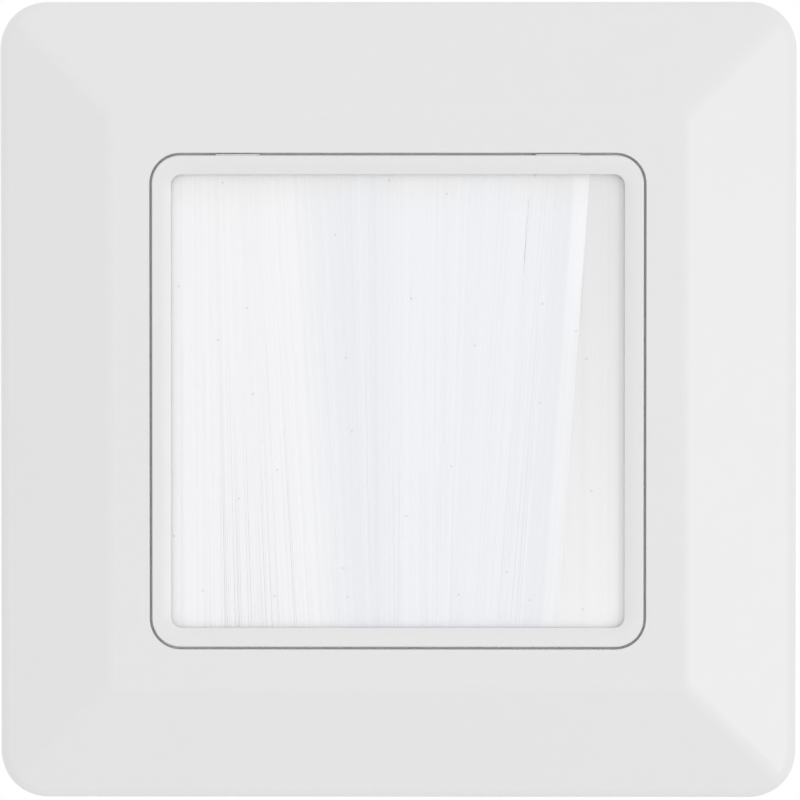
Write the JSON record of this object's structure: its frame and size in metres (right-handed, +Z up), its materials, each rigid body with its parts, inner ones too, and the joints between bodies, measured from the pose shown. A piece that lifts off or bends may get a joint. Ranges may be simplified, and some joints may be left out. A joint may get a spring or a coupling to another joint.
{
  "type": "brush wall plate",
  "caption": "Square white wall plate for a flush box, with crossed nylon brushes in its window that let cables through and keep draughts and dust out.",
  "frame": {"origin": "centre of the plate's back, in the plane where it meets the wall", "axes": "+Z up and +X right as seen from the front, +Y into the wall; the front faces -Y"},
  "size_m": [0.081, 0.0234, 0.081],
  "materials": {
    "frame_plastic": "satin white moulding",
    "plate_plastic": "satin white moulding",
    "holder_plastic": "plain white moulding with a fine grain",
    "zinc_steel": "bright zinc plate on pressed sheet",
    "channel_metal": "plain folded strip",
    "core_wire": "drawn wire",
    "screw_steel": "zinc-plated",
    "bristle_nylon": "clear white nylon filaments"
  },
  "bodies": {
    "root": {"outer_frame": "frame_plastic", "centre_plate": "plate_plastic", "brush_carrier": "holder_plastic", "brush_retainer": "holder_plastic", "support_plate": "zinc_steel", "front_brush_channel": "channel_metal", "front_brush_core_wire": "core_wire", "front_brush_bristles": "bristle_nylon", "rear_brush_channel": "channel_metal", "rear_brush_core_wire": "core_wire", "rear_brush_bristles": "bristle_nylon", "box_screw_left": "screw_steel", "carrier_screw_top_left": "screw_steel", "carrier_screw_bottom_left": "screw_steel", "box_screw_right": "screw_steel", "carrier_screw_top_right": "screw_steel", "carrier_screw_bottom_right": "screw_steel"}
  },
  "joints": []
}
